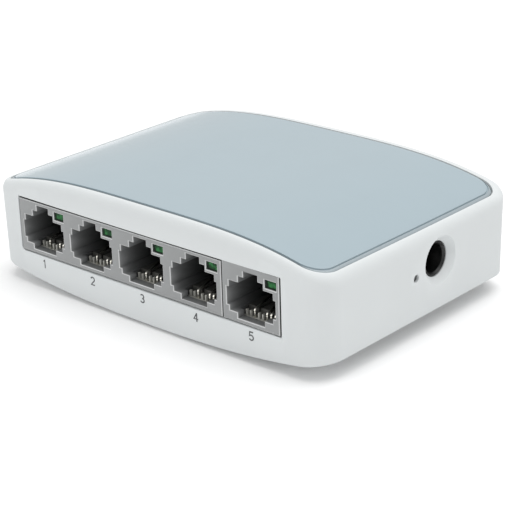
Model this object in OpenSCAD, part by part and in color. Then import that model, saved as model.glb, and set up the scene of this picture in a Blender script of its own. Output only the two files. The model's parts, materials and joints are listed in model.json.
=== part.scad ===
// Desktop network switch with five ports, in millimetres.
// +X runs along the ports to the power socket's end, +Y to the back, +Z up.
// The origin is the middle of the footprint, on the surface that the feet stand on.

/* [Housing] */
// Width across the ends
body_w = 88.9; // [88.4:0.1:90]
// Depth from front to back
body_d = 60.1; // [59:0.1:61]
// Height of the crown above the table
body_h = 25.1; // [25:0.1:27]
// Corner radius seen from above
corner_r = 5.3; // [4:0.1:7]
// Thickness of the housing's walls
wall = 1.8; // [1.6:0.1:2]
// Thickness of the deck under the top panel
deck_t = 1.4; // [1.2:0.1:1.6]
// Gap between the table and the lowest point of the keel
foot_gap = 0.6; // [0.6:0.1:1.2]
// Rise of the bottom edge from the middle to the ends
keel_rise = 3.3; // [3:0.1:3.8]
// Fall of the crown from the middle to the panel's ends
crown_drop = 4.14; // [3.5:0.1:4.2]

/* [Top panel] */
// Width of the panel
panel_w = 85.0; // [80:0.1:86]
// Depth of the panel
panel_d = 56.4; // [54:0.1:56.5]
// Place of the panel's middle along the depth
panel_y = -0.3; // [-0.4:0.1:0]
// Thickness of the panel
panel_t = 1.0; // [0.8:0.1:1.2]
// Corner radius of the panel
panel_r = 3.3; // [2:0.1:5]
// Groove round the panel
panel_gap = 0.3; // [0.1:0.05:0.35]

/* [Bottom cover] */
// Thickness of the cover
cover_t = 1.6; // [1.4:0.1:1.6]
// Diameter of a rubber foot
foot_d = 8; // [6:0.5:9]
// Distance between the feet along the width
foot_span_x = 56; // [50:1:58]
// Distance between the feet along the depth
foot_span_y = 38; // [34:1:40]

/* [Circuit board] */
// Height of the board's top face above the table
board_top = 7.4; // [7.3:0.1:7.5]
// Thickness of the board
board_t = 1.6; // [1.4:0.1:1.6]

/* [Port sockets] */
// Distance between neighbouring ports of the four-gang block
port_pitch = 13.97; // [13.9:0.01:14]
// Centre of the first port
port_1_x = -29.24; // [-29.3:0.01:-29.2]
// Centre of the separate fifth port
port_5_x = 27.08; // [27:0.01:27.15]
// Setback of the port faces from the housing's front
port_setback = 0.4; // [0.3:0.05:0.5]
// Depth of a port block
block_depth = 16; // [16:0.5:17]
// Depth of a plug cavity
plug_depth = 11.5; // [11:0.1:11.5]
// Spacing of the eight contacts
contact_pitch = 1.016; // [1:0.001:1.02]

/* [Power socket] */
// Place of the power socket along the depth
dc_y = 5.3; // [4:0.1:7]
// Height of the power socket's axis
dc_z = 13.7; // [13.6:0.1:13.8]
// Diameter of the socket's bore
dc_bore_d = 5.8; // [5.6:0.1:6]
// Diameter of the socket's centre pin
dc_pin_d = 2.0; // [1.9:0.1:2.5]
// Place of the power light along the depth
lamp_y = -2.4; // [-4:0.1:-2]
// Height of the power light
lamp_z = 12.45; // [12:0.05:14]

/* [Hidden] */
$fn = 48;

big = 200;
half_w = body_w / 2;
half_d = body_d / 2;
panel_half_w = panel_w / 2;
keel_power = 2.6;
crown_power = 3.34;
curve_steps = 28;
shoulder_h = 3.4;
shoulder_steps = 8;

cover_gap = 0.15;
cover_w = body_w - 2 * wall - 2 * cover_gap;
cover_d = body_d - 2 * wall - 2 * cover_gap;
cover_corner = corner_r - wall;
screw_x = 38;
screw_y = 23.5;
screw_head_z = 5.4;
boss_r = 3;
boss_foot_z = 6.7;
screw_shaft_r = 1.25;
shaft_gap = 0.03;
hook_xs = [-20, 6];
hook_half = 3;
hook_foot = 1.8;
hook_low = 3.7;
hook_top = 4.6;
hook_reach = 1.4;
hook_gap = 0.1;
vent_xs = [-12, -8, -4, 0, 4, 8, 12];
vent_ys = [-1, 15];
vent_half_w = 0.8;
vent_half_l = 6;
foot_top = 2.4;

board_bottom = board_top - board_t;
board_w = 81;
board_front = -27.4;
board_back = 26.5;
board_screw_x = 33;
board_screw_y = 17;
board_rest_y = -5;
post_r = 2.5;
pin_hole_r = 0.42;
screw_hole_r = 1.4;
notch = 4;

face_y = -half_d + port_setback;
slot_z = 8.38;
ports = [for (i = [0:3]) port_1_x + i * port_pitch, port_5_x];
// Each step of the plug opening: its half width, and the height where it ends
port_steps = [[3.3, 1.15], [5.27, 2.2], [5.97, 5.8], [5.38, 7.16], [3.04, 8.46], [1.73, 9.76]];
four_left = -36.05;
four_right = 19.88;
four_top = 18.8;
single_left = 20.2;
single_right = 34.0;
single_top = 19.15;
nose_depth = 0.6;
nose_bottom = 7.55;
window_left = -36.2;
window_right = 34.6;
window_bottom = 7.35;
window_top = 19.3;
relief_bottom = 6.8;
relief_top = 19.6;
led_left = 3.45;
led_right = 6.25;
led_bottom = 7.8;
led_top = 9.5;
led_face = 0.3;
led_depth = 5.5;
lead_y = 16.9;
fit_gap = 0.05;
carrier_front = 1.9;
carrier_rear = 15.9;
tongue_half = 4.3;
carrier_half = 5.6;
floor_v = 1.15;
carrier_top_v = 7.3;
pocket_y = 12.6;
// The four places out of eight that hold a contact
wired = [2, 5, 6, 7];
wire_w = 0.4;
wire_t = 0.3;
groove_w = 0.6;
tooth_w = 0.36;
tooth_y = 2.65;
tooth_rear = 3.3;
tooth_top = 0.85;
sill_rear = 4.2;
sill_top = -0.4;
run_low = -0.35;
run_high = -0.05;
tail_half = 0.22;
curl_y = 3.25;
curl_v = 0.95;
curl_r = 0.45;
curl_end = 105;
leg_y = curl_y - curl_r;
leg_gap = 0.05;
arm_l = 6.4;
tip_l = 0.6;
tail_rows = [13.5, 15.0];
tail_z = 4.6;
peg_y = 8.5;
four_pegs = [ports[0] + port_pitch / 2, ports[2] + port_pitch / 2];
single_pegs = [ports[4] - 5.5, ports[4] + 5.5];
four_peg_r = 1.2;
single_peg_r = 0.8;
peg_z = 4.9;

dc_back = 28.2;
dc_front = 41.0;
dc_half = 4.5;
dc_top = 18.3;
dc_collar_r = 3.5;
dc_collar_x = 43.15;
dc_recess_r = 4.9;
dc_bore_x = 32.4;
dc_pin_tip = 40.6;
leaf_x = 38.4;
leaf_z = 9.4;
leaf_path = [[leaf_x, leaf_z], [34.7, 11.1], [34.2, 11.1], [33.1, 10.6]];
leaf_half = 1.2;
leaf_t = 0.3;
strip_t = 0.4;
rear_strip_x = 33.2;
terminal_z = 5.35;

pipe_x = 39.4;
pipe_r = 0.75;
pipe_half = 0.9;
pipe_foot = 8.3;
pipe_tip = 44.1;

chip_x = -6;
chip_y = 14;
quad_x = -16;
quad_y = -3;
solo_x = 17;
solo_y = -4;
inductor_x = 18;
inductor_y = 9;
regulator_x = 8.5;
regulator_y = 10;
can_xs = [10, 19];
can_y = 20.5;
can_h = 7;
can_r = 3.15;
crystal_x = -24;
crystal_y = 13;
screw_head_h = 1.6;
screw_head_r = 2.2;

function crown_z(x) = body_h - crown_drop * pow(abs(x) / panel_half_w, crown_power);
function keel_z(x) = foot_gap + keel_rise * pow(abs(x) / half_w, keel_power);
function spread(lo, hi, n) = [for (i = [0:n]) lo + (hi - lo) * i / n];
function reversed(list) = [for (i = [len(list) - 1:-1:0]) list[i]];
function mirrored(points) = [for (p = reversed(points)) [-p[0], p[1]]];

// The side of a strip that follows a path of points, half its thickness to one side
function strip_side(path, off) = [
    for (i = [0:len(path) - 1])
        let (a = path[max(i - 1, 0)], b = path[min(i + 1, len(path) - 1)])
        let (d = (b - a) / norm(b - a))
        path[i] + off * [-d[1], d[0]]
];
function strip(path, t) = concat(strip_side(path, t / 2), reversed(strip_side(path, -t / 2)));

module rounded_plan(w, d, r) {
    square([w - 2 * r, d], center = true);
    square([w, d - 2 * r], center = true);
    for (sx = [-1, 1], sy = [-1, 1])
        translate([sx * (w / 2 - r), sy * (d / 2 - r)])
            circle(r);
}

module rounded_block(w, d, r) {
    translate([0, 0, -big / 2])
        linear_extrude(big)
            rounded_plan(w, d, r);
}

// A front-view outline, drawn in X and Z, taken right through the body
module front_prism(points, depth = big) {
    rotate([90, 0, 0])
        linear_extrude(depth, center = true)
            polygon(points);
}

// A side-view outline, drawn in Y and Z, with a width along X
module side_prism(points, width) {
    rotate([90, 0, 90])
        linear_extrude(width, center = true)
            polygon(points);
}

module box(lo, hi) {
    translate(lo)
        cube(hi - lo);
}

module rod_x(x0, x1, y, z, r) {
    translate([x0, y, z])
        rotate([0, 90, 0])
            cylinder(h = x1 - x0, r = r);
}

module rod_z(x, y, z0, z1, r) {
    translate([x, y, z0])
        cylinder(h = z1 - z0, r = r);
}

// The space between the crown lowered by one amount and the crown lowered by another
module crown_band(low, high, reach) {
    xs = spread(-reach, reach, curve_steps);
    front_prism(concat([for (x = xs) [x, crown_z(x) - low]],
                       [for (x = reversed(xs)) [x, crown_z(x) - high]]));
}

module keel_band(low, high, reach) {
    xs = spread(-reach, reach, curve_steps);
    front_prism(concat([for (x = xs) [x, keel_z(x) + low]],
                       [for (x = reversed(xs)) [x, keel_z(x) + high]]));
}

module housing_form() {
    shoulder_z = crown_z(panel_half_w) - shoulder_h;
    shoulder_w = half_w - panel_half_w;
    shoulder = [
        for (a = spread(0, 90, shoulder_steps))
            [panel_half_w + shoulder_w * cos(a), shoulder_z + shoulder_h * sin(a)]
    ];
    crown = [
        for (x = spread(panel_half_w, -panel_half_w, curve_steps))
            if (abs(x) < panel_half_w - 0.01) [x, crown_z(x)]
    ];
    keel = [for (x = spread(-half_w, half_w, curve_steps)) [x, keel_z(x)]];
    intersection() {
        rounded_block(body_w, body_d, corner_r);
        front_prism(concat(keel, shoulder, crown, mirrored(shoulder)));
    }
}

module housing_cavity() {
    intersection() {
        rounded_block(body_w - 2 * wall, body_d - 2 * wall, corner_r - wall);
        crown_band(body_h + 10, panel_t + deck_t, half_w);
    }
}

module housing() {
    color("white")
    difference() {
        union() {
            difference() {
                housing_form();
                housing_cavity();
            }
            for (sx = [-1, 1])
                intersection() {
                    rod_z(sx * screw_x, screw_y, boss_foot_z, body_h, boss_r);
                    crown_band(body_h, panel_t + deck_t / 2, half_w);
                }
        }
        intersection() {
            translate([0, panel_y, 0])
                rounded_block(panel_w + 2 * panel_gap, panel_d + 2 * panel_gap, panel_r + panel_gap);
            crown_band(panel_t + fit_gap, -5, half_w);
        }
        box([window_left, -half_d - 1, window_bottom], [window_right, -half_d + wall + 1, window_top]);
        box([window_left, face_y + nose_depth - fit_gap, relief_bottom],
            [window_right, -half_d + wall + 1, relief_top]);
        translate([dc_collar_x, dc_y, dc_z])
            rotate([0, 90, 0])
                cylinder(h = half_w - dc_collar_x + 0.01, r1 = dc_collar_r + 0.1, r2 = dc_recess_r);
        rod_x(half_w - wall - 1, dc_collar_x + 0.01, dc_y, dc_z, dc_collar_r + 0.1);
        rod_x(half_w - wall - 1, half_w + 1, lamp_y, lamp_z, pipe_r + fit_gap);
        for (sx = [-1, 1])
            rod_z(sx * screw_x, screw_y, boss_foot_z - 1, 14, screw_shaft_r + shaft_gap);
        for (x = hook_xs)
            box([x - hook_half - hook_gap, -half_d + hook_reach - hook_gap, hook_low - 2 * hook_gap],
                [x + hook_half + hook_gap, -half_d + wall + 1, hook_top + hook_gap]);
    }
}

module top_panel() {
    color("lightsteelblue")
    intersection() {
        translate([0, panel_y, 0])
            rounded_block(panel_w, panel_d, panel_r);
        crown_band(panel_t, 0, half_w);
    }
}

module bottom_cover() {
    color("whitesmoke")
    difference() {
        union() {
            intersection() {
                rounded_block(cover_w, cover_d, cover_corner);
                keel_band(0, cover_t, half_w);
            }
            for (sx = [-1, 1]) {
                rod_z(sx * screw_x, screw_y, keel_z(screw_x) + 0.5, boss_foot_z - fit_gap, boss_r);
                for (y = [board_rest_y, board_screw_y])
                    rod_z(sx * board_screw_x, y, keel_z(board_screw_x) + 0.5, board_bottom, post_r);
            }
            for (x = hook_xs) {
                box([x - hook_half, -half_d + wall + cover_gap, hook_foot],
                    [x + hook_half, -half_d + wall + 1.2, hook_top]);
                box([x - hook_half, -half_d + hook_reach, hook_low],
                    [x + hook_half, -half_d + wall + 1.2, hook_top]);
            }
        }
        for (sx = [-1, 1]) {
            rod_z(sx * screw_x, screw_y, 0, screw_head_z, screw_head_r + 0.2);
            rod_z(sx * screw_x, screw_y, 0, 10, screw_shaft_r + 0.1);
            rod_z(sx * board_screw_x, board_screw_y, keel_z(board_screw_x) + 0.7, 10,
                  screw_shaft_r + shaft_gap);
            for (sy = [-1, 1])
                rod_z(sx * foot_span_x / 2, sy * foot_span_y / 2, -1, foot_top + 0.02, foot_d / 2 + 0.1);
        }
        for (x = vent_xs, y = vent_ys)
            box([x - vent_half_w, y - vent_half_l, 0], [x + vent_half_w, y + vent_half_l, 6]);
    }
}

module circuit_board() {
    color("darkgreen")
    difference() {
        box([-board_w / 2, board_front, board_bottom], [board_w / 2, board_back, board_top]);
        for (sx = [-1, 1]) {
            box([sx * screw_x - notch, screw_y - notch, 0], [sx * screw_x + notch, half_d, 10]);
            rod_z(sx * board_screw_x, board_screw_y, 0, 10, screw_hole_r);
        }
        for (x = ports, i = wired)
            rod_z(x + wire_x(i), face_y + tail_rows[i % 2], 0, 10, pin_hole_r);
        for (x = ports, sx = [-1, 1])
            rod_z(x + lead_x(sx), face_y + lead_y, 0, 10, pin_hole_r);
        for (x = four_pegs)
            rod_z(x, face_y + peg_y, 0, 10, four_peg_r + fit_gap);
        for (x = single_pegs)
            rod_z(x, face_y + peg_y, 0, 10, single_peg_r + fit_gap);
        for (x = [dc_back - 0.2, leaf_x + 0.4, rear_strip_x + 0.2])
            box([x - 0.5, dc_y - 1.4, 0], [x + 0.5, dc_y + 1.4, 10]);
    }
}

// Across the port, where place i of eight lies
function wire_x(i) = (i - 3.5) * contact_pitch;
function lead_x(side) = (led_left + led_right) / 2 + side * 0.64;

port_outline = [
    for (i = [0:len(port_steps) - 1], j = [0, 1])
        let (below = i == 0 ? 0 : port_steps[i - 1][1])
        [port_steps[i][0], j == 0 ? below : port_steps[i][1]]
];

// Everything cut from a port block for the port centred on x
module port_cut(x) {
    translate([x, face_y, slot_z]) {
        translate([0, plug_depth / 2 - 0.5, 0])
            front_prism(concat(port_outline, mirrored(port_outline)), plug_depth + 1);
        box([-tongue_half - fit_gap, carrier_front - fit_gap, -2],
            [tongue_half + fit_gap, pocket_y + 0.1, floor_v]);
        box([-carrier_half - fit_gap, pocket_y - fit_gap, -2],
            [carrier_half + fit_gap, block_depth + 1, carrier_top_v + fit_gap]);
        box([led_left, -1, led_bottom], [led_right, block_depth + 1, led_top]);
    }
}

// A block whose front fits the housing's window and whose rear stands on the board
module block_body(left, right, top) {
    box([left, face_y, nose_bottom], [right, face_y + block_depth, top]);
    box([left, face_y + nose_depth, board_top], [right, face_y + block_depth, nose_bottom + 1]);
}

module jack_block_four() {
    color("darkgray")
    difference() {
        union() {
            block_body(four_left, four_right, four_top);
            for (x = four_pegs)
                rod_z(x, face_y + peg_y, peg_z, board_top + 0.5, four_peg_r);
        }
        for (i = [0:3])
            port_cut(ports[i]);
    }
}

module jack_block_single() {
    color("darkgray")
    difference() {
        union() {
            block_body(single_left, single_right, single_top);
            for (x = single_pegs)
                rod_z(x, face_y + peg_y, peg_z, board_top + 0.5, single_peg_r);
        }
        port_cut(ports[4]);
    }
}

// The comb of one port: a low sill with a tooth at every place without a contact
module carrier() {
    foot = board_top + fit_gap - slot_z;
    difference() {
        union() {
            box([-tongue_half, carrier_front, foot], [tongue_half, pocket_y + 0.1, floor_v]);
            box([-carrier_half, pocket_y, foot], [carrier_half, carrier_rear, carrier_top_v]);
        }
        box([-tongue_half - 1, carrier_front - 1, sill_top], [tongue_half + 1, sill_rear, 3]);
        for (i = wired)
            translate([wire_x(i), 0, 0]) {
                box([-groove_w / 2, sill_rear - 1, sill_top], [groove_w / 2, pocket_y - 0.6, 3]);
                box([-groove_w / 2, pocket_y - 0.7, sill_top], [groove_w / 2, 15.4, run_high + 0.1]);
                box([-groove_w / 2, 13.1, -2], [groove_w / 2, 15.4, run_low]);
            }
    }
    for (i = [0:7])
        if (len(search(i, wired)) == 0)
            translate([wire_x(i), 0, 0])
                box([-tooth_w / 2, tooth_y, foot / 2], [tooth_w / 2, tooth_rear, tooth_top]);
}

module contact_carriers() {
    color("dimgray")
    for (x = ports)
        translate([x, face_y, slot_z])
            carrier();
}

module contact_tails() {
    color("gold")
    for (x = ports, i = wired)
        let (y = tail_rows[i % 2], foot = tail_z - slot_z, leg_top = curl_v - leg_gap)
        translate([x + wire_x(i), face_y, slot_z])
            side_prism([[leg_y - wire_t / 2, run_low], [y - tail_half, run_low], [y - tail_half, foot],
                        [y + tail_half, foot], [y + tail_half, run_high], [leg_y + wire_t / 2, run_high],
                        [leg_y + wire_t / 2, leg_top], [leg_y - wire_t / 2, leg_top]], wire_w);
}

contact_arm = [sin(curl_end), -cos(curl_end)];
arm_root = [curl_y, curl_v] + curl_r * [cos(curl_end), sin(curl_end)];
arm_end = arm_root + arm_l * contact_arm;
contact_path = concat(
    [for (a = spread(180, curl_end, 8)) [curl_y, curl_v] + curl_r * [cos(a), sin(a)]],
    [arm_end, arm_end + tip_l * [cos(20), -sin(20)]]);

module contacts(port) {
    color("gold")
    for (i = wired)
        translate([ports[port] + wire_x(i), face_y, slot_z])
            side_prism(strip(contact_path, wire_t), wire_w);
}

module port_leds() {
    color("green")
    for (x = ports)
        translate([x, face_y, slot_z])
            box([led_left + fit_gap, led_face, led_bottom + fit_gap],
                [led_right - fit_gap, led_depth, led_top - fit_gap]);
}

module port_led_leads() {
    top = slot_z + (led_bottom + led_top) / 2;
    color("silver")
    for (x = ports, sx = [-1, 1])
        translate([x + lead_x(sx), face_y, 0])
            side_prism([[led_depth, top - 0.25], [lead_y - 0.25, top - 0.25], [lead_y - 0.25, tail_z],
                        [lead_y + 0.25, tail_z], [lead_y + 0.25, top + 0.25], [led_depth, top + 0.25]],
                       0.5);
}

module dc_jack_body() {
    color("#222222")
    difference() {
        union() {
            box([dc_back, dc_y - dc_half, board_top], [dc_front, dc_y + dc_half, dc_top]);
            rod_x(dc_front - 1, dc_collar_x, dc_y, dc_z, dc_collar_r);
        }
        rod_x(dc_bore_x, dc_collar_x + 1, dc_y, dc_z, dc_bore_d / 2);
        rod_x(dc_back - 1, dc_bore_x + 1, dc_y, dc_z, dc_pin_d / 2 + shaft_gap);
        box([32.7, dc_y - 1.4, board_top - 1], [39.3, dc_y + 1.4, dc_z - 1.5]);
    }
}

module dc_center_pin() {
    color("silver")
    union() {
        rod_x(dc_back - 0.1, dc_pin_tip - 0.6, dc_y, dc_z, dc_pin_d / 2);
        translate([dc_pin_tip - 0.6, dc_y, dc_z])
            rotate([0, 90, 0])
                cylinder(h = 0.6, r1 = dc_pin_d / 2, r2 = dc_pin_d / 4);
        box([dc_back - 0.5, dc_y - 1.2, terminal_z], [dc_back - 0.1, dc_y + 1.2, dc_z + 1.2]);
    }
}

module dc_spring() {
    color("silver")
    translate([0, dc_y, 0])
        front_prism(strip(leaf_path, leaf_t), 2 * leaf_half);
}

module dc_terminals() {
    color("silver") {
        box([leaf_x + 0.2, dc_y - leaf_half, terminal_z],
            [leaf_x + 0.2 + strip_t, dc_y + leaf_half, leaf_z + 0.2]);
        box([rear_strip_x, dc_y - leaf_half, terminal_z],
            [rear_strip_x + strip_t, dc_y + leaf_half, 8.9]);
    }
}

module power_led() {
    color("honeydew")
    box([pipe_x - 1, lamp_y - 0.65, board_top], [pipe_x + 1, lamp_y + 0.65, board_top + 0.8]);
}

module light_pipe() {
    color("lightgray")
    union() {
        translate([0, lamp_y, 0])
            front_prism([[pipe_x - pipe_half, pipe_foot], [pipe_x + pipe_half, pipe_foot],
                         [pipe_x + pipe_half, lamp_z + pipe_half],
                         [pipe_x, lamp_z + pipe_half],
                         [pipe_x - pipe_half, lamp_z]], 2 * pipe_half);
        rod_x(pipe_x + pipe_half - 0.1, pipe_tip, lamp_y, lamp_z, pipe_r);
    }
}

// A chip's body, with rounded upright corners, at a lift above the board
module chip_body(x, y, w, d, h, lift) {
    translate([x, y, board_top + lift])
        linear_extrude(h)
            rounded_plan(w, d, 0.3);
}

// One gull-wing lead, which starts at a body's side and reaches away along +X
module gull_lead(reach, rise, width) {
    t = 0.15;
    knee = 0.4 * reach;
    translate([0, 0, board_top])
        front_prism([[0, rise], [knee + t, rise], [knee + t, t], [reach, t], [reach, 0],
                     [knee, 0], [knee, rise - t], [0, rise - t]], width);
}

// A row of leads along Y on the +X side of a body
module lead_row(edge, count, pitch, reach, rise, width) {
    for (i = [0:count - 1])
        translate([edge, (i - (count - 1) / 2) * pitch, 0])
            gull_lead(reach, rise, width);
}

module switch_chip() {
    color("#2a2a2a")
    chip_body(chip_x, chip_y, 14, 14, 1.4, 0.1);
}

module switch_chip_leads() {
    color("silver")
    for (turn = [0:90:270])
        translate([chip_x, chip_y, 0])
            rotate(turn)
                lead_row(7, 16, 0.8, 1, 0.8, 0.32);
}

module magnetics_quad() {
    color("#1c1c1c")
    chip_body(quad_x, quad_y, 28, 9.6, 5.6, 0.2);
}

module magnetics_single() {
    color("#1c1c1c")
    chip_body(solo_x, solo_y, 12.7, 7, 5.2, 0.2);
}

module magnetics_leads() {
    color("silver") {
        for (turn = [90, 270])
            translate([quad_x, quad_y, 0])
                rotate(turn)
                    lead_row(4.8, 20, 1.27, 1.4, 1.2, 0.5);
        for (turn = [90, 270])
            translate([solo_x, solo_y, 0])
                rotate(turn)
                    lead_row(3.5, 8, 1.27, 1.4, 1.2, 0.5);
    }
}

module crystal() {
    color("silver")
    translate([crystal_x, crystal_y, board_top])
        linear_extrude(3.5)
            rounded_plan(4.6, 11, 2.25);
}

module electrolytic_capacitors() {
    color("lightgray")
    for (x = can_xs)
        rod_z(x, can_y, board_top, board_top + can_h, can_r);
}

module power_inductor() {
    color("#333333")
    chip_body(inductor_x, inductor_y, 6, 6, 2.8, 0);
}

module regulator() {
    color("#2a2a2a")
    chip_body(regulator_x, regulator_y, 3.9, 4.9, 1.4, 0.1);
}

module regulator_leads() {
    color("silver")
    for (turn = [0, 180])
        translate([regulator_x, regulator_y, 0])
            rotate(turn)
                lead_row(1.95, 4, 1.27, 1, 0.7, 0.4);
}

module ceramic_capacitors() {
    color("tan")
    for (place = concat([for (x = [-33:4:-1]) [x, 4.4]], [for (x = [-14:3.5:4]) [x, 24.2]]))
        translate([place[0], place[1], board_top])
            box([-0.8, -0.4, 0], [0.8, 0.4, 0.8]);
}

module chip_resistors() {
    color("#202020")
    for (x = ports, side = [-1, 1])
        box([x + side * 2.2 - 0.8, -10.8, board_top], [x + side * 2.2 + 0.8, -10, board_top + 0.45]);
}

// A pan-head screw whose head's underside is at z, pointing along dir
module pan_screw(x, y, z, dir, length) {
    translate([x, y, z])
        mirror([0, 0, dir > 0 ? 0 : 1])
            difference() {
                union() {
                    translate([0, 0, -screw_head_h])
                        cylinder(h = screw_head_h, r = screw_head_r);
                    cylinder(h = length, r = screw_shaft_r);
                }
                for (turn = [0, 90])
                    rotate(turn)
                        box([-1.3, -0.25, -2], [1.3, 0.25, -0.8]);
            }
}

module board_screws() {
    color("silver")
    for (sx = [-1, 1])
        pan_screw(sx * board_screw_x, board_screw_y, board_top, -1, 3.8);
}

module cover_screws() {
    color("silver")
    for (sx = [-1, 1])
        pan_screw(sx * screw_x, screw_y, screw_head_z, 1, 8);
}

module rubber_feet() {
    color("dimgray")
    for (sx = [-1, 1], sy = [-1, 1])
        translate([sx * foot_span_x / 2, sy * foot_span_y / 2, 0])
            rotate_extrude()
                polygon([[0, 0], [foot_d / 2 - 0.5, 0], [foot_d / 2, 0.5], [foot_d / 2, foot_top],
                         [0, foot_top]]);
}

housing();
top_panel();
bottom_cover();
circuit_board();
jack_block_four();
jack_block_single();
contact_carriers();
contact_tails();
contacts(0);  // contacts_1
contacts(1);  // contacts_2
contacts(2);  // contacts_3
contacts(3);  // contacts_4
contacts(4);  // contacts_5
port_leds();
port_led_leads();
dc_jack_body();
dc_center_pin();
dc_spring();
dc_terminals();
power_led();
light_pipe();
switch_chip();
switch_chip_leads();
magnetics_quad();
magnetics_single();
magnetics_leads();
crystal();
electrolytic_capacitors();
power_inductor();
regulator();
regulator_leads();
ceramic_capacitors();
chip_resistors();
board_screws();
cover_screws();
rubber_feet();
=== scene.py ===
import bpy
import bmesh
import json
import math
from mathutils import Matrix, Vector


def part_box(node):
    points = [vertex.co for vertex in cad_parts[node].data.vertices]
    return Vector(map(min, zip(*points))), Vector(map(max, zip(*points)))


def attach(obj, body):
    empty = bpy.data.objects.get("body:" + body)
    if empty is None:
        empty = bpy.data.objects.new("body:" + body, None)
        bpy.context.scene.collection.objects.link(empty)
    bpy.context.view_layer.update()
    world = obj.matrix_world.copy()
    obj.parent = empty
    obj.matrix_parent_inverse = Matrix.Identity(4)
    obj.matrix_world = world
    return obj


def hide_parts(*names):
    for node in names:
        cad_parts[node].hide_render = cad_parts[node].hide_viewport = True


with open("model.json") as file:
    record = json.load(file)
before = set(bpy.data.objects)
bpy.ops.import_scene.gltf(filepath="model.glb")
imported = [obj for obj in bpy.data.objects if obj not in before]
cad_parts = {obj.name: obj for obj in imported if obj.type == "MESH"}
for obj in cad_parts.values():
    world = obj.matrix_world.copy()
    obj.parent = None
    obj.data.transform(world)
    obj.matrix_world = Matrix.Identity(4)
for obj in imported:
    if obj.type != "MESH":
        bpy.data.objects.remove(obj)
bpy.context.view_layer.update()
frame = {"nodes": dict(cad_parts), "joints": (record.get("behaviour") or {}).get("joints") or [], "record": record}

# ---------------------------------------------------------------- sizes, in millimetres
MM = 0.001


def node_box(node):
    low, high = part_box(node)
    return low / MM, high / MM


shell_low, shell_high = node_box("housing")
panel_low, panel_high = node_box("top_panel")
four_low = node_box("jack_block_four")[0]
jack_low, jack_high = node_box("dc_jack_body")
pipe_low, pipe_high = node_box("light_pipe")
pin_low, pin_high = node_box("dc_center_pin")
led_low, led_high = node_box("port_leds")
screw_low, screw_high = node_box("cover_screws")

HALF_W, HALF_D = shell_high.x, shell_high.y
PANEL_W, PANEL_D = panel_high.x, (panel_high.y - panel_low.y) / 2
PANEL_Y = (panel_high.y + panel_low.y) / 2
CROWN_TOP = panel_high.z
CROWN_DROP, CROWN_POWER = 4.14, 3.34
KEEL_LOW, KEEL_RISE, KEEL_POWER = shell_low.z, 3.3, 2.6
WALL = 1.8
PANEL_T, DECK_T = 1.0, 1.4
CORNER_R, PANEL_R = 5.3, 4.3
BOW_FRONT, BOW_END = 0.4, 0.12
SIDE_STEPS, FRONT_STEPS, CORNER_STEPS = 24, 72, 14
FACE_Y = four_low.y
WINDOW = (-36.2, 34.6, 7.35, 19.3)
RELIEF_Y = FACE_Y + 0.55
PANEL_GAP = 0.3
LIP_DROP = 0.2
SHOULDER_END, SHOULDER_FRONT, SHOULDER_BACK = 2.6, 1.9, 0.45
TAPER_END, TAPER_R = 0.1, 0.4
DC_Y, DC_Z = (jack_low.y + jack_high.y) / 2, 13.7
COLLAR_R, BORE_R = 3.5, 2.9
LAMP_Y, LAMP_Z, LAMP_R = (pipe_low.y + pipe_high.y) / 2, 12.45, 0.75
PORTS = [joint["pos_m"][0] / MM for joint in frame["joints"] if joint["name"].startswith("port")]


def crown(x):
    return CROWN_TOP - CROWN_DROP * (abs(x) / PANEL_W) ** CROWN_POWER


def keel(x):
    return KEEL_LOW + KEEL_RISE * (abs(x) / HALF_W) ** KEEL_POWER


def front_y(x):
    return -HALF_D + BOW_FRONT * (x / HALF_W) ** 2


# ---------------------------------------------------------------- mesh helpers
def new_object(name, mesh):
    obj = bpy.data.objects.new(name, mesh)
    bpy.context.scene.collection.objects.link(obj)
    return obj


def object_from(name, verts, faces):
    """An object from points in millimetres, with every face turned outwards."""
    bm = bmesh.new()
    points = [bm.verts.new(Vector(v) * MM) for v in verts]
    for face in faces:
        bm.faces.new([points[i] for i in face])
    bmesh.ops.recalc_face_normals(bm, faces=bm.faces)
    mesh = bpy.data.meshes.new(name)
    bm.to_mesh(mesh)
    bm.free()
    return new_object(name, mesh)


def steps(a, b, n):
    return [a + (b - a) * i / n for i in range(n)]


def bowed_outline(half_w, half_d, radius):
    """A rounded rectangle from the middle of its right end round, whose front and ends bow a little."""
    cx, cy = half_w - radius, half_d - radius
    quarter = math.pi / 2

    def corner(sx, sy, start):
        return [(sx * cx + radius * math.cos(t), sy * cy + radius * math.sin(t))
                for t in steps(start, start + quarter, CORNER_STEPS)]

    points = [(half_w, y) for y in steps(0, cy, SIDE_STEPS // 2)]
    points += corner(1, 1, 0)
    points += [(x, half_d) for x in steps(cx, -cx, FRONT_STEPS)]
    points += corner(-1, 1, quarter)
    points += [(-half_w, y) for y in steps(cy, -cy, SIDE_STEPS)]
    points += corner(-1, -1, 2 * quarter)
    points += [(x, -half_d) for x in steps(-cx, cx, FRONT_STEPS)]
    points += corner(1, -1, 3 * quarter)
    points += [(half_w, y) for y in steps(-cy, 0, SIDE_STEPS // 2)]
    bowed = []
    for x, y in points:
        bow_front = BOW_FRONT if y < 0 else 0.0
        bowed.append((x * (1 - BOW_END / half_w * (y / half_d) ** 2),
                      y * (1 - bow_front / half_d * (x / half_w) ** 2)))
    return bowed


def body_outline(inset, taper=0.0):
    """The body seen from above; with a taper of 1 its ends are drawn in and its corners are rounder."""
    radius = max(CORNER_R - inset, 0.6) + TAPER_R * taper
    return bowed_outline(HALF_W - inset - TAPER_END * taper, HALF_D - inset, radius)


def panel_outline(inset_x, inset_y, radius):
    return [(x, y + PANEL_Y) for x, y in bowed_outline(PANEL_W - inset_x, PANEL_D - inset_y, radius)]


def level(points, height, offset=0.0):
    return [(x, y, height(x) + offset) for x, y in points]


def cap(points, height, offset, shares):
    """Rings that shrink towards the middle and follow a height."""
    return [[(x * s, y * s, height(x * s) + offset) for x, y in points] for s in shares]


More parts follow.
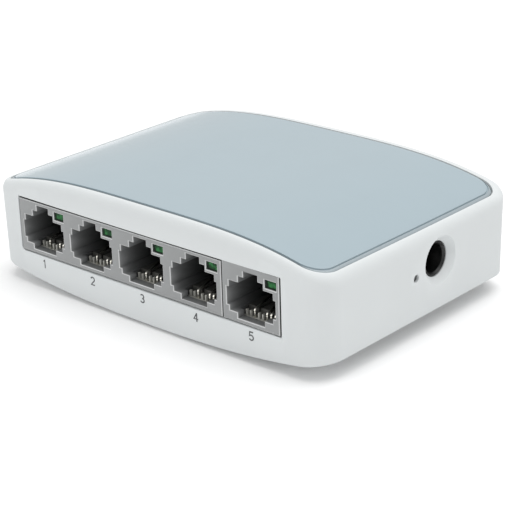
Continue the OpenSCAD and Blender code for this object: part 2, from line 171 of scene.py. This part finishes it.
def lofted(name, rings):
    """A closed skin through rings of equal length, with its first and last rings filled."""
    count = len(rings[0])
    verts = [p for ring in rings for p in ring]
    faces = []
    for k in range(len(rings) - 1):
        for i in range(count):
            j = (i + 1) % count
            faces.append((k * count + i, k * count + j, (k + 1) * count + j, (k + 1) * count + i))
    faces.append(tuple(range(count)))
    last = (len(rings) - 1) * count
    faces.append(tuple(last + i for i in range(count)))
    return object_from(name, verts, faces)


def prism(name, points, axis, low, high):
    """A 2D outline taken along an axis: it lies in Y and Z for X, in X and Z for Y, and in X and Y for Z."""
    places = {
        "x": lambda a, b, h: (h, a, b),
        "y": lambda a, b, h: (a, h, b),
        "z": lambda a, b, h: (a, b, h),
    }
    place = places[axis]
    return lofted(name, [[place(a, b, h) for a, b in points] for h in (low, high)])


def rounded_rect(x0, x1, z0, z1, radii, arc=6):
    """Corner radii go lower left, lower right, upper right, upper left."""
    corners = [(x0, z0, 1, 1, 180), (x1, z0, -1, 1, 270), (x1, z1, -1, -1, 0), (x0, z1, 1, -1, 90)]
    points = []
    for (x, z, sx, sz, start), r in zip(corners, radii):
        for k in range(arc + 1):
            t = math.radians(start + 90 * k / arc)
            points.append((x + sx * r + r * math.cos(t), z + sz * r + r * math.sin(t)))
    return points


def turned(name, profile, axis, centre, count=96):
    """A lathe form: profile pairs are (radius, place along the axis)."""
    rings = []
    for radius, along in profile:
        ring = []
        for i in range(count):
            t = 2 * math.pi * i / count
            u, v = radius * math.cos(t), radius * math.sin(t)
            if axis == "x":
                ring.append((along, centre[0] + u, centre[1] + v))
            else:
                ring.append((centre[0] + u, centre[1] + v, along))
        rings.append(ring)
    return lofted(name, rings)


def settle(obj):
    """Applies every modifier, so that the mesh is the shape that shows."""
    bpy.context.view_layer.update()
    graph = bpy.context.evaluated_depsgraph_get()
    mesh = bpy.data.meshes.new_from_object(obj.evaluated_get(graph))
    obj.modifiers.clear()
    obj.data = mesh


def combine(obj, tool, operation="DIFFERENCE"):
    step = obj.modifiers.new("combine", "BOOLEAN")
    step.operation = operation
    step.solver = "EXACT"
    step.object = tool
    settle(obj)
    bpy.data.objects.remove(tool)


def soften(obj, width, segments=3, angle=35):
    """Rounds every sharp edge by a width in millimetres."""
    bevel = obj.modifiers.new("soften", "BEVEL")
    bevel.limit_method = "ANGLE"
    bevel.angle_limit = math.radians(angle)
    bevel.width = width * MM
    bevel.segments = segments
    bevel.use_clamp_overlap = True


def smooth(obj, angle=35):
    for polygon in obj.data.polygons:
        polygon.use_smooth = True
    obj.data.set_sharp_from_angle(angle=math.radians(angle))


def refined(node, width, segments=2, edge=None):
    """A copy of a CAD node with its flat faces made whole and its sharp edges rounded.

    With an edge material, only the edges of its front face are rounded, and they take that material, a paler grey
    that paints a highlight on them."""
    source = frame["nodes"][node]
    bm = bmesh.new()
    bm.from_mesh(source.data)
    bmesh.ops.remove_doubles(bm, verts=bm.verts, dist=2e-6)
    bmesh.ops.dissolve_limit(bm, angle_limit=math.radians(0.5), verts=bm.verts, edges=bm.edges)
    mesh = bpy.data.meshes.new(f"{node}_mesh")
    bm.to_mesh(mesh)
    bm.free()
    obj = new_object(f"{node}_form", mesh)
    body = next(name for name, nodes in BODIES.items() if node in nodes)
    piece(obj, node, body)
    soften(obj, width, segments, 30)
    if edge:
        mark_face_edges(obj)
        obj.modifiers["soften"].limit_method = "WEIGHT"
        obj.data.materials.append(MATERIALS[edge])
        obj.modifiers["soften"].material = 1
    settle(obj)
    smooth(obj, 35)
    if edge:
        paint_flank_shade(obj)
    return obj


def mark_face_edges(obj):
    """Only the sharp edges of a port block's face are rounded."""
    bm = bmesh.new()
    bm.from_mesh(obj.data)
    weights = bm.edges.layers.float.new("bevel_weight_edge")
    for line in bm.edges:
        at_face = all(abs(v.co.y - FACE_Y * MM) < 0.02 * MM for v in line.verts)
        if at_face and line.calc_face_angle(0.0) > math.radians(30):
            line[weights] = 1.0
    bm.to_mesh(obj.data)
    bm.free()


def paint_flank_shade(obj):
    """Near-black painted shade on the outer sides, top and underside of a port block, which lie in the narrow
    shadowed gaps round it.
    """
    obj.data.materials.append(MATERIALS["jack_flank_shade"])
    xs = [v.co.x for v in obj.data.vertices]
    top = max(v.co.z for v in obj.data.vertices)
    near = 0.02 * MM
    for polygon in obj.data.polygons:
        x, z = polygon.center.x, polygon.center.z
        at_side = abs(polygon.normal.x) > 0.9 and (x < min(xs) + near or x > max(xs) - near)
        under = polygon.normal.z < -0.9 and z < (WINDOW[2] + 1) * MM
        if at_side or under or (polygon.normal.z > 0.9 and z > top - near):
            polygon.material_index = 2


# ---------------------------------------------------------------- materials
def tree_of(name):
    material = bpy.data.materials.new(name)
    material.use_nodes = True
    tree = material.node_tree
    shader = tree.nodes["Principled BSDF"]
    return material, tree, shader


def noise(tree, scale, detail=3.0, roughness=0.5):
    coords = tree.nodes.new("ShaderNodeTexCoord")
    texture = tree.nodes.new("ShaderNodeTexNoise")
    texture.inputs["Scale"].default_value = scale
    texture.inputs["Detail"].default_value = detail
    texture.inputs["Roughness"].default_value = roughness
    tree.links.new(coords.outputs["Object"], texture.inputs["Vector"])
    return texture.outputs["Fac"]


def remap(tree, value, low, high, from_low=0.3, from_high=0.7):
    node = tree.nodes.new("ShaderNodeMapRange")
    node.inputs["From Min"].default_value = from_low
    node.inputs["From Max"].default_value = from_high
    node.inputs["To Min"].default_value = low
    node.inputs["To Max"].default_value = high
    tree.links.new(value, node.inputs["Value"])
    return node.outputs["Result"]


def blend_colors(tree, factor, first, second):
    node = tree.nodes.new("ShaderNodeMix")
    node.data_type = "RGBA"
    for socket, value in ((6, first), (7, second)):
        if hasattr(value, "links"):
            tree.links.new(value, node.inputs[socket])
        else:
            node.inputs[socket].default_value = (*value, 1)
    tree.links.new(factor, node.inputs[0])
    return node.outputs[2]


def bump(tree, height, depth_mm, strength=1.0):
    node = tree.nodes.new("ShaderNodeBump")
    node.inputs["Strength"].default_value = strength
    node.inputs["Distance"].default_value = depth_mm * MM
    tree.links.new(height, node.inputs["Height"])
    return node.outputs["Normal"]


def shade(color, factor):
    return tuple(min(c * factor, 1.0) for c in color)


def paint_depth_shade(tree, tone, color, shade_depths, left):
    """Paints shade on a moulding: darkens it from one depth behind the port faces to another, fast at first."""
    coords = tree.nodes.new("ShaderNodeTexCoord")
    split = tree.nodes.new("ShaderNodeSeparateXYZ")
    tree.links.new(coords.outputs["Object"], split.inputs["Vector"])
    share = remap(tree, split.outputs["Y"], 0.0, 1.0, (FACE_Y + shade_depths[0]) * MM, (FACE_Y + shade_depths[1]) * MM)
    eased = tree.nodes.new("ShaderNodeMath")
    eased.operation = "POWER"
    eased.inputs[1].default_value = 0.36
    tree.links.new(share, eased.inputs[0])
    return blend_colors(tree, eased.outputs["Value"], tone, shade(color, left))


def surface(name, color, roughness, spread=0.05, grain=3500, grain_depth=0.004, metallic=0.0,
            coat=0.0, wear=1.12, transmission=0.0, ior=1.5, specular=0.5, shade_depths=None, left=0.2):
    """A moulded, cast or plated finish: fine grain, cloudy roughness, a faint tone drift and worn edges; given
    shade depths, also painted shade that darkens it behind the port faces.
    """
    material, tree, shader = tree_of(name)
    cloud = noise(tree, 90, 4.0)
    tone = blend_colors(tree, cloud, shade(color, 0.975), shade(color, 1.02))
    edges = tree.nodes.new("ShaderNodeNewGeometry")
    worn = remap(tree, edges.outputs["Pointiness"], 0.0, 0.6, 0.52, 0.62)
    tone = blend_colors(tree, worn, tone, shade(color, wear))
    # Painted shade: the tone darkens with depth behind the port faces.
    if shade_depths:
        tone = paint_depth_shade(tree, tone, color, shade_depths, left)
    tree.links.new(tone, shader.inputs["Base Color"])
    patches = noise(tree, 260, 5.0, 0.6)
    tree.links.new(remap(tree, patches, roughness - spread, roughness + spread), shader.inputs["Roughness"])
    tree.links.new(bump(tree, noise(tree, grain, 2.0), grain_depth), shader.inputs["Normal"])
    shader.inputs["Metallic"].default_value = metallic
    shader.inputs["Coat Weight"].default_value = coat
    shader.inputs["Coat Roughness"].default_value = 0.08
    shader.inputs["Transmission Weight"].default_value = transmission
    shader.inputs["IOR"].default_value = ior
    shader.inputs["Specular IOR Level"].default_value = specular
    return material


def led_surface(name, dark, bright):
    """Tinted epoxy with a paler die in the middle of each window."""
    material, tree, shader = tree_of(name)
    cell = noise(tree, 900, 1.0)
    tone = blend_colors(tree, remap(tree, cell, 0.0, 1.0, 0.42, 0.62), dark, bright)
    tree.links.new(tone, shader.inputs["Base Color"])
    tree.links.new(remap(tree, noise(tree, 2500, 3.0), 0.12, 0.24), shader.inputs["Roughness"])
    tree.links.new(bump(tree, noise(tree, 1400, 2.0), 0.02), shader.inputs["Normal"])
    shader.inputs["Specular IOR Level"].default_value = 0.1
    return material


def board_surface():
    """Solder mask with pale copper tracks that show through it."""
    material, tree, shader = tree_of("board_mask")
    coords = tree.nodes.new("ShaderNodeTexCoord")
    tracks = tree.nodes.new("ShaderNodeTexBrick")
    tracks.inputs["Scale"].default_value = 260
    tracks.inputs["Mortar Size"].default_value = 0.035
    tracks.inputs["Color1"].default_value = (0, 0, 0, 1)
    tracks.inputs["Color2"].default_value = (0, 0, 0, 1)
    tracks.inputs["Mortar"].default_value = (1, 1, 1, 1)
    tree.links.new(coords.outputs["Object"], tracks.inputs["Vector"])
    tone = blend_colors(tree, tracks.outputs["Fac"], (0.012, 0.11, 0.04), (0.03, 0.20, 0.08))
    tree.links.new(tone, shader.inputs["Base Color"])
    tree.links.new(remap(tree, noise(tree, 400, 4.0), 0.28, 0.42), shader.inputs["Roughness"])
    tree.links.new(bump(tree, tracks.outputs["Fac"], 0.02), shader.inputs["Normal"])
    return material


MATERIALS = {
    "white_shell": surface("white_shell", (0.66, 0.685, 0.69), 0.55, 0.05, 5200, 0.0016, wear=1.04,
                           specular=0.02),
    "panel_blue_grey": surface("panel_blue_grey", (0.345, 0.425, 0.465), 0.2, 0.03, 6000, 0.0008, coat=0.3,
                               wear=1.03),
    "white_cover": surface("white_cover", (0.64, 0.66, 0.665), 0.5, 0.06, 3800, 0.006, wear=1.04),
    # The port mouldings, their front edges, the contact carriers and the contacts darken with depth behind the
    # port faces: painted shade in the port cavities.
    "jack_grey": surface("jack_grey", (0.28, 0.288, 0.29), 0.42, 0.06, 4200, 0.003, wear=1.2,
                         shade_depths=(0.1, 9.0), left=0.14),
    # Paler grey for the rounded front edges of the port blocks: a painted highlight.
    "jack_edge_highlight": surface("jack_edge_highlight", (0.62, 0.63, 0.63), 0.35, 0.05, 4200, 0.002, wear=1.0,
                         shade_depths=(0.2, 2.5), left=0.08),
    # Near-black: painted shade in the narrow gaps round the port blocks.
    "jack_flank_shade": surface("jack_flank_shade", (0.03, 0.03, 0.03), 0.6, 0.06, 4200, 0.003, wear=1.0),
    "carrier_grey": surface("carrier_grey", (0.48, 0.48, 0.44), 0.45, 0.06, 4200, 0.003, wear=1.2,
                            shade_depths=(3.0, 4.5), left=0.1),
    "contact_gold": surface("contact_gold", (0.88, 0.86, 0.78), 0.3, 0.07, 6000, 0.002, metallic=1.0,
                            shade_depths=(3.2, 5.5), left=0.08),
    "led_green": led_surface("led_green", (0.01, 0.05, 0.018), (0.028, 0.16, 0.048)),
    # Near-black green: painted shade round each port light's lens.
    "led_border_shade": led_surface("led_border_shade", (0.004, 0.012, 0.006), (0.008, 0.03, 0.012)),
    # Darker, matte blue-grey: painted shade along the panel's groove and border.
    "panel_border_shade": surface("panel_border_shade", (0.32, 0.37, 0.395), 0.3, 0.04, 6000, 0.0008, wear=1.03),
    "tinned_metal": surface("tinned_metal", (0.66, 0.66, 0.64), 0.32, 0.09, 5000, 0.003, metallic=1.0),
    "socket_black": surface("socket_black", (0.004, 0.0042, 0.0044), 0.38, 0.06, 4200, 0.003, wear=1.2),
    "led_clear": surface("led_clear", (0.80, 0.84, 0.72), 0.2, 0.05, 3000, 0.003),
    # Near-black, so the light pipe's face reads as the shade in the lamp hole: painted shade.
    "pipe_clear": surface("pipe_clear", (0.035, 0.036, 0.038), 0.16, 0.04, 3000, 0.002, transmission=0.2,
                          ior=1.49),
    "chip_black": surface("chip_black", (0.022, 0.022, 0.023), 0.55, 0.08, 6500, 0.006, wear=1.4),
    "can_metal": surface("can_metal", (0.72, 0.72, 0.72), 0.28, 0.08, 2600, 0.004, metallic=1.0),
    "ferrite_grey": surface("ferrite_grey", (0.055, 0.055, 0.058), 0.6, 0.08, 5200, 0.01, wear=1.5),
    "ceramic_tan": surface("ceramic_tan", (0.42, 0.29, 0.17), 0.4, 0.06, 5200, 0.004),
    "screw_steel": surface("screw_steel", (0.62, 0.62, 0.60), 0.3, 0.08, 5200, 0.004, metallic=1.0),
    "foot_rubber": surface("foot_rubber", (0.11, 0.11, 0.115), 0.7, 0.08, 3000, 0.014, wear=1.4),
    "board_green": board_surface(),
}
SLOT_OF = {row["node"]: row["material_slot"] for row in frame["record"]["subparts"]}
BODIES = frame["record"]["behaviour"]["bodies"]


def paint(obj, slot_name):
    obj.data.materials.clear()
    obj.data.materials.append(MATERIALS[slot_name])


def piece(obj, node, body="case"):
    """A finished mesh that stands for a CAD node."""
    smooth(obj)
    paint(obj, SLOT_OF[node])
    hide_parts(node)
    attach(obj, body)
    return obj


# ---------------------------------------------------------------- housing
def housing_rings():
    lip_gap = PANEL_GAP + 0.07
    recess = panel_outline(-PANEL_GAP, -PANEL_GAP, PANEL_R + PANEL_GAP)
    lip = panel_outline(-lip_gap, -lip_gap, PANEL_R + lip_gap)
    body = body_outline(0)
    shoulders = []
    for (px, py), (bx, by) in zip(lip, body):
        end = (bx - px) ** 2 / ((bx - px) ** 2 + (by - py) ** 2)
        at_front = by < 0
        drop = SHOULDER_END * end + (SHOULDER_FRONT if at_front else SHOULDER_BACK) * (1 - end)
        shoulders.append((crown(px) - (LIP_DROP * (1 - end) if at_front else 0.0), drop))
    rings = cap(recess, crown, -PANEL_T - 0.05, steps(0.04, 1.0, 12))
    rings += [level(recess, crown, -PANEL_T - 0.05), level(recess, crown, -0.6)]
    rings.append([(x, y, z - 0.07) for (x, y), (z, _) in zip(recess, shoulders)])
    for k in range(11):
        t = math.pi / 2 * k / 10
        out, down = math.sin(t), 1 - math.cos(t)
        rings.append([(px + (bx - px) * out, py + (by - py) * out, z - drop * down)
                      for (px, py), (bx, by), (z, drop) in zip(lip, body, shoulders)])
    top = rings[-1]
    edge_r = 0.2
    for share in (0.12, 0.3, 0.5, 0.7, 0.88):
        rings.append([(x, y, z + (keel(x) + edge_r - z) * share)
                      for (x, y), (_, _, z) in zip(body_outline(0, share), top)])
    for k in range(5):
        t = math.pi / 2 * k / 4
        rings.append(level(body_outline(edge_r * (1 - math.cos(t)), 1), keel, edge_r * (1 - math.sin(t))))
    inner = body_outline(WALL, 1)
    rings.append(level(body_outline(WALL - 0.15, 1), keel, 0.0))
    rings.append(level(inner, keel, 0.15))
    ceiling = level(inner, crown, -PANEL_T - DECK_T)
    floor = rings[-1]
    for share in (0.3, 0.6):
        rings.append([(x, y, z0 + (z1 - z0) * share) for (x, y, z0), (_, _, z1) in zip(floor, ceiling)])
    rings += cap(inner, crown, -PANEL_T - DECK_T, [1.0] + steps(0.92, 0.0, 10))
    return rings


def housing():
    obj = lofted("housing_shell", housing_rings())
    screw_x = screw_high.x - 2.2
    screw_y = (screw_low.y + screw_high.y) / 2
    for side in (-1, 1):
        centre = (side * screw_x, screw_y)
        post = turned("post", [(3, 6.7), (3, crown(screw_x) - PANEL_T - DECK_T / 2)], "z", centre, 48)
        combine(obj, post, "UNION")
        combine(obj, turned("bore", [(1.28, 6), (1.28, 14)], "z", centre, 48))
    x0, x1, z0, z1 = WINDOW
    back = -HALF_D + WALL + 1
    window = rounded_rect(x0, x1, z0, z1, (0.9, 0.25, 0.25, 0.25))
    combine(obj, prism("window", window, "y", -HALF_D - 2, back))
    relief = rounded_rect(x0, x1, z0 - 0.55, z1 + 0.3, (0.1,) * 4, 2)
    combine(obj, prism("relief", relief, "y", RELIEF_Y, back + 0.01))
    collar_hole = COLLAR_R + 0.1
    recess = [(collar_hole, HALF_W - WALL - 1), (collar_hole, jack_high.x)]
    recess += [(4.9, HALF_W - 0.02), (5.6, HALF_W + 0.7)]
    combine(obj, turned("power_recess", recess, "x", (DC_Y, DC_Z)))
    lamp_hole = [(LAMP_R + 0.05, HALF_W - WALL - 1), (LAMP_R + 0.05, HALF_W + 1)]
    combine(obj, turned("lamp_hole", lamp_hole, "x", (LAMP_Y, LAMP_Z), 48))
    for x in (-20, 6):
        notch = rounded_rect(x - 3.1, x + 3.1, 3.5, 4.7, (0.1,) * 4, 1)
        combine(obj, prism("notch", notch, "y", -HALF_D + 1.3, back))
    soften(obj, 0.16, 3, 38)
    settle(obj)
    return piece(obj, "housing")


# ---------------------------------------------------------------- top panel
def top_panel():
    """A plate whose raised middle stands inside a groove and a low border band, wider at the two ends."""
    plate_x, plate_y, plate_r = 0.8, 0.2, 4.4
    groove = 0.2
    groove_floor = -0.34

    def ring(out, drop):
        """Goes outwards from the plate's edge; the band's width is squeezed where the border is narrow."""
        inset_y = plate_y - min(out, plate_y) * 0.9
        return level(panel_outline(plate_x - out, inset_y, plate_r - out / 3), crown, drop)

    outer = panel_outline(0.0, 0.0, PANEL_R)
    rings = cap(panel_outline(plate_x, plate_y, plate_r), crown, 0.0, steps(0.02, 0.98, 24) + [0.98])
    rings.append(ring(-0.08, 0.0))
    rings.append(ring(-0.02, -0.02))
    rings.append(ring(0.0, -0.09))
    rings.append(ring(0.0, groove_floor))
    band = [ring(groove, groove_floor), ring(groove, -0.2), ring(groove + 0.05, -0.16),
            level(panel_outline(0.1, 0.05, PANEL_R - 0.1), crown, -0.24), level(outer, crown, -0.33),
            level(outer, crown, -PANEL_T + 0.1)]
    rings += band
    rings.append(level(panel_outline(0.1, 0.1, PANEL_R - 0.1), crown, -PANEL_T))
    rings += cap(outer, crown, -PANEL_T, steps(0.95, 0.0, 12))
    obj = piece(lofted("panel_insert", rings), "top_panel")
    # The groove's outer wall, the border band and the panel's outer edge take the darker blue-grey: painted shade
    # along the groove.
    obj.data.materials.append(MATERIALS["panel_border_shade"])
    first = next(k for k, ring_points in enumerate(rings) if ring_points is band[0])
    count = len(outer)
    for polygon in obj.data.polygons[first * count:(first + 5) * count]:
        polygon.material_index = 1
    return obj


# ---------------------------------------------------------------- power socket and lamp
def dc_socket():
    depth_x = 32.4
    low, high = jack_low, jack_high
    block = rounded_rect(low.y, high.y, low.z, high.z, (0.2, 0.2, 1.4, 1.4), 8)
    obj = prism("power_socket", block, "x", low.x, 41.0)
    collar = [(COLLAR_R, 40.0), (COLLAR_R, high.x - 0.2), (COLLAR_R - 0.2, high.x)]
    combine(obj, turned("collar", collar, "x", (DC_Y, DC_Z)), "UNION")
    mouth_r = BORE_R + 0.35
    bore = [(BORE_R, depth_x), (BORE_R, high.x - 0.5), (mouth_r, high.x - 0.02), (mouth_r, high.x + 1)]
    combine(obj, turned("bore", bore, "x", (DC_Y, DC_Z)))
    combine(obj, turned("pin_hole", [(1.03, low.x - 1), (1.03, depth_x + 1)], "x", (DC_Y, DC_Z), 48))
    slot = rounded_rect(DC_Y - 1.4, DC_Y + 1.4, low.z - 1, DC_Z - 1.5, (0.1,) * 4, 1)
    combine(obj, prism("spring_slot", slot, "x", 32.7, 39.3))
    soften(obj, 0.1, 2, 38)
    settle(obj)
    return piece(obj, "dc_jack_body")


def centre_pin():
    r = 1.0
    tip = pin_high.x
    nose = [(r * math.cos(t), tip - 0.8 + 0.8 * math.sin(t)) for t in steps(0, math.pi / 2, 8)]
    obj = turned("pin", [(r, pin_low.x + 0.3)] + nose + [(0.08, tip)], "x", (DC_Y, DC_Z), 64)
    tab = rounded_rect(DC_Y - 1.2, DC_Y + 1.2, pin_low.z, pin_high.z, (0.3, 0.3, 0.9, 0.9), 6)
    combine(obj, prism("tab", tab, "x", pin_low.x, pin_low.x + 0.4), "UNION")
    return piece(obj, "dc_center_pin")


def pipe():
    body_x = pipe_low.x + 1.8
    bend = [(pipe_low.x, pipe_low.z), (body_x, pipe_low.z), (body_x, pipe_high.z),
            (pipe_low.x + 0.9, pipe_high.z), (pipe_low.x, pipe_high.z - 0.9)]
    obj = prism("lamp_pipe", bend, "y", LAMP_Y - 0.9, LAMP_Y + 0.9)
    dome = [(LAMP_R * math.cos(t), pipe_high.x - 0.3 + 0.3 * math.sin(t)) for t in steps(0, math.pi / 2, 8)]
    nose = [(LAMP_R, body_x - 0.2)] + dome + [(0.05, pipe_high.x)]
    combine(obj, turned("nose", nose, "x", (LAMP_Y, LAMP_Z), 64), "UNION")
    soften(obj, 0.08, 2, 38)
    settle(obj)
    return piece(obj, "light_pipe")


# ---------------------------------------------------------------- port lights
def port_lights():
    """Each light: a near-black cell with a paler lens set into its face towards the upper right; the cell's rim,
    widest at the left and bottom, is painted shade.
    """
    front, rear = led_low.y, led_high.y
    x_left, x_right, z_low, z_high = 3.5, 6.2, led_low.z, led_high.z
    for i, x in enumerate(PORTS):
        cell = rounded_rect(x + x_left, x + x_right, z_low, z_high, (0.1,) * 4, 3)
        obj = prism(f"port_light_{i + 1}", cell, "y", front, rear)
        lens = rounded_rect(x + x_left + 0.5, x + x_right - 0.08, z_low + 0.28, z_high - 0.12, (0.2,) * 4, 4)
        combine(obj, prism("seat", lens, "y", front - 1, front + 0.12))
        soften(obj, 0.05, 2, 38)
        settle(obj)
        smooth(obj)
        paint(obj, "led_border_shade")
        bm = bmesh.new()
        bm.from_mesh(obj.data)
        insert = prism("lens", rounded_rect(x + x_left + 0.52, x + x_right - 0.1, z_low + 0.3, z_high - 0.14,
                                            (0.18,) * 4, 4), "y", front + 0.03, front + 0.2)
        bm.from_mesh(insert.data)
        base = len(obj.data.polygons)
        bm.to_mesh(obj.data)
        bm.free()
        bpy.data.objects.remove(insert)
        obj.data.materials.append(MATERIALS["led_green"])
        for polygon in obj.data.polygons[base:]:
            polygon.material_index = 1
        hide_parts("port_leds")
        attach(obj, "case")


# ---------------------------------------------------------------- printed numbers
def arc(cx, cz, rx, rz, start, end, count=14):
    return [(cx + rx * math.cos(math.radians(start + (end - start) * k / count)),
             cz + rz * math.sin(math.radians(start + (end - start) * k / count))) for k in range(count + 1)]


# Strokes in a box one unit high, around its middle
DIGITS = [
    [[(-0.16, 0.27), (0.05, 0.46), (0.05, -0.5)]],
    [arc(0.0, 0.2, 0.27, 0.25, 165, -40) + [(-0.27, -0.45), (0.3, -0.45)]],
    [arc(-0.01, 0.23, 0.24, 0.22, 150, -90), arc(-0.01, -0.22, 0.28, 0.235, 90, -155)],
    [[(0.13, -0.5), (0.13, 0.5)], [(0.1, 0.4), (-0.27, -0.2), (0.32, -0.2)]],
    [[(0.26, 0.45), (-0.19, 0.45), (-0.25, 0.02)] + arc(-0.01, -0.17, 0.28, 0.28, 118, -150)],
]


def ribbon(path, width):
    """The closed outline of a stroke along a path."""
    sides = ([], [])
    for i, (x, z) in enumerate(path):
        ahead = Vector(path[min(i + 1, len(path) - 1)]) - Vector((x, z))
        behind = Vector((x, z)) - Vector(path[max(i - 1, 0)])
        ahead = (ahead if ahead.length else behind).normalized()
        behind = (behind if behind.length else ahead).normalized()
        middle = (ahead + behind).normalized()
        reach = width / 2 / max(middle.dot(ahead), 0.6)
        sides[0].append((x - middle.y * reach, z + middle.x * reach))
        sides[1].append((x + middle.y * reach, z - middle.x * reach))
    return sides[0] + sides[1][::-1]


def printed_numbers():
    """The port numbers, as a thin film of ink below each port, each a little off its port's middle."""
    height, stroke, ink_z = 1.82, 0.15, 5.8
    ink_lift, layer_lift = 0.02, 0.004
    ink = surface("number_ink", (0.06, 0.063, 0.068), 0.5, 0.05, 5200, 0.002)
    shifts = (-0.2, 0.3, 0.35, 0.65, 0.15)
    for i, strokes in enumerate(DIGITS):
        centre = PORTS[i] + shifts[i]
        front = front_y(centre)
        parts = []
        for layer, path in enumerate(strokes):
            outline = [(centre + x * height, ink_z + z * height) for x, z in ribbon(path, stroke)]
            lift = ink_lift + layer_lift * layer
            parts.append(prism(f"stroke_{layer}", outline, "y", front - lift, front + 0.03))
        obj = parts[0]
        for other in parts[1:]:
            bm = bmesh.new()
            bm.from_mesh(obj.data)
            bm.from_mesh(other.data)
            bm.to_mesh(obj.data)
            bm.free()
            bpy.data.objects.remove(other)
        obj.name = f"port_number_{i + 1}"
        obj.data.materials.clear()
        obj.data.materials.append(ink)
        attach(obj, "case")


# ---------------------------------------------------------------- carried-over nodes
EDGE_WIDTHS = {
    "bottom_cover": 0.15, "circuit_board": 0.08, "jack_block_four": 0.15, "jack_block_single": 0.15,
    "contact_carriers": 0.1, "contact_tails": 0.09, "port_led_leads": 0.08,
    "dc_spring": 0.06, "dc_terminals": 0.06, "power_led": 0.1, "switch_chip": 0.12,
    "switch_chip_leads": 0.03, "magnetics_quad": 0.2, "magnetics_single": 0.2, "magnetics_leads": 0.03,
    "crystal": 0.3, "electrolytic_capacitors": 0.4, "power_inductor": 0.25, "regulator": 0.12,
    "regulator_leads": 0.03, "ceramic_capacitors": 0.08, "chip_resistors": 0.06, "board_screws": 0.12,
    "cover_screws": 0.12, "rubber_feet": 0.25,
    "contacts_1": 0.09, "contacts_2": 0.09, "contacts_3": 0.09, "contacts_4": 0.09, "contacts_5": 0.09,
}

housing()
top_panel()
dc_socket()
centre_pin()
pipe()
port_lights()
printed_numbers()
for node, width in EDGE_WIDTHS.items():
    refined(node, width, edge="jack_edge_highlight" if node.startswith("jack_block") else None)


# ---------------------------------------------------------------- studio
def studio():
    bpy.ops.mesh.primitive_plane_add(size=6)
    floor = bpy.context.object
    floor.name = "studio_floor"
    material, tree, shader = tree_of("studio_floor")
    shader.inputs["Base Color"].default_value = (0.93, 0.93, 0.93, 1)
    shader.inputs["Roughness"].default_value = 0.6
    shader.inputs["Specular IOR Level"].default_value = 0.1
    shader.inputs["Emission Color"].default_value = (1, 1, 1, 1)
    shader.inputs["Emission Strength"].default_value = 0.04
    floor.data.materials.append(material)
    world = bpy.data.worlds.new("studio")
    bpy.context.scene.world = world
    world.use_nodes = True
    world.node_tree.nodes["Background"].inputs["Color"].default_value = (1, 1, 1, 1)
    world.node_tree.nodes["Background"].inputs["Strength"].default_value = 0.67
    lamps = [("overhead", (0.12, 0.12, 0.9), 1.0, 6.8), ("front", (-0.55, -0.75, 0.3), 0.6, 1.15)]
    for name, place, size, power in lamps:
        light = bpy.data.lights.new(name, "AREA")
        light.energy = power
        light.size = size
        lamp = new_object(name, light)
        lamp.location = place
        aim = Vector((0, 0, 0.012)) - Vector(place)
        lamp.rotation_euler = aim.to_track_quat("-Z", "Y").to_euler()
    bpy.context.scene.view_settings.view_transform = "Standard"


def camera():
    azimuth, elevation, roll = (math.radians(v) for v in (42.135, 22.223, -1.74))
    place = Vector((212.98, -233.26, 134.2)) * MM
    back = Vector((math.sin(azimuth) * math.cos(elevation), -math.cos(azimuth) * math.cos(elevation),
                   math.sin(elevation)))
    right = Vector((math.cos(azimuth), math.sin(azimuth), 0))
    up = back.cross(right)
    right, up = (math.cos(roll) * right + math.sin(roll) * up, -math.sin(roll) * right + math.cos(roll) * up)
    data = bpy.data.cameras.new("camera")
    data.lens = 116.22
    data.sensor_width = 36
    data.clip_start = 0.01
    data.clip_end = 20
    cam = new_object("camera", data)
    cam.matrix_world = Matrix.Translation(place) @ Matrix((right, up, back)).transposed().to_4x4()
    bpy.context.scene.camera = cam


studio()
camera()

bpy.context.view_layer.update()
